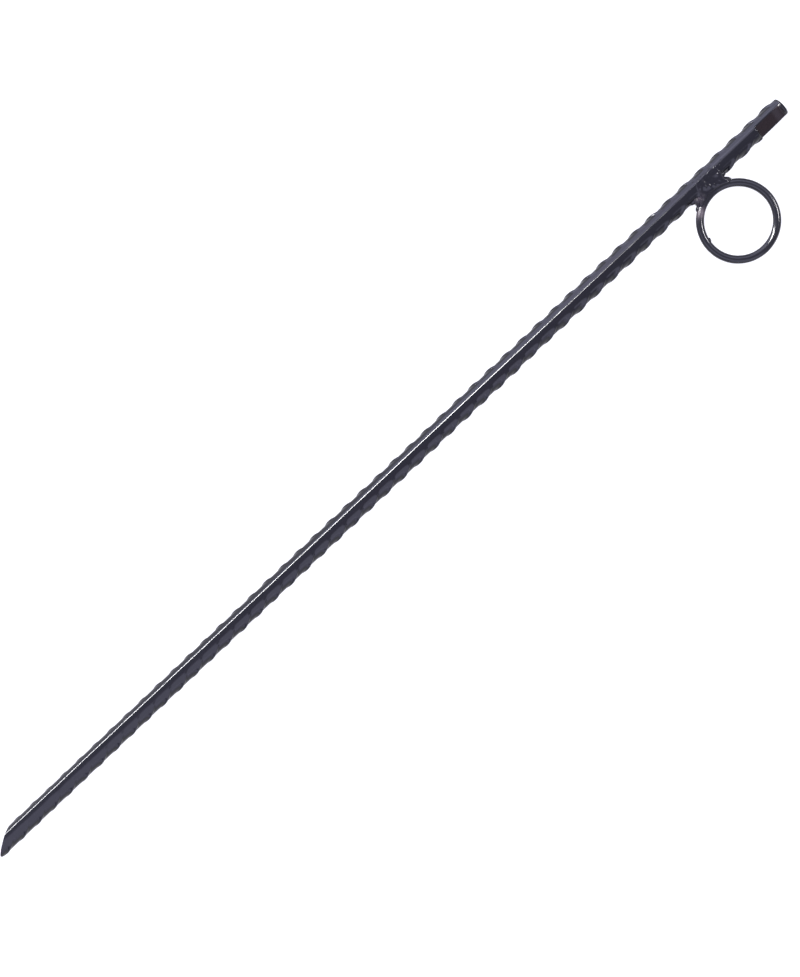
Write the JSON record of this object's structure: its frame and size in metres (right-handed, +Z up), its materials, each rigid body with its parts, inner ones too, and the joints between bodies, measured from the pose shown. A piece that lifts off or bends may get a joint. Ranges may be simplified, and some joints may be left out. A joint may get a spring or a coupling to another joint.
{
  "type": "ground stake",
  "caption": "Steel guy-line stake of ribbed reinforcing bar with an obliquely cut tip, a sheared striking head and a round wire eye welded to its side.",
  "frame": {"origin": "centre of the bounding box's bottom face, on the surface that the stake lies on", "axes": "+X along the bar towards the struck head, the eye lies towards -Y, +Z up from the surface that the stake lies on"},
  "size_m": [0.6, 0.058, 0.0111],
  "materials": {
    "bar_paint": "glossy black bitumen lacquer over hot-rolled ribs, with a blue-grey sheen",
    "eye_paint": "glossy black lacquer on smooth drawn wire",
    "weld_paint": "black lacquer pooled over lumpy arc weld metal"
  },
  "bodies": {
    "root": {"stake_bar": "bar_paint", "eye_ring": "eye_paint", "root_weld": "weld_paint", "head_side_toe_weld": "weld_paint", "tip_side_toe_weld": "weld_paint", "front_weld_bead": "weld_paint", "rear_weld_bead": "weld_paint", "weld_spatter": "weld_paint"}
  },
  "joints": []
}
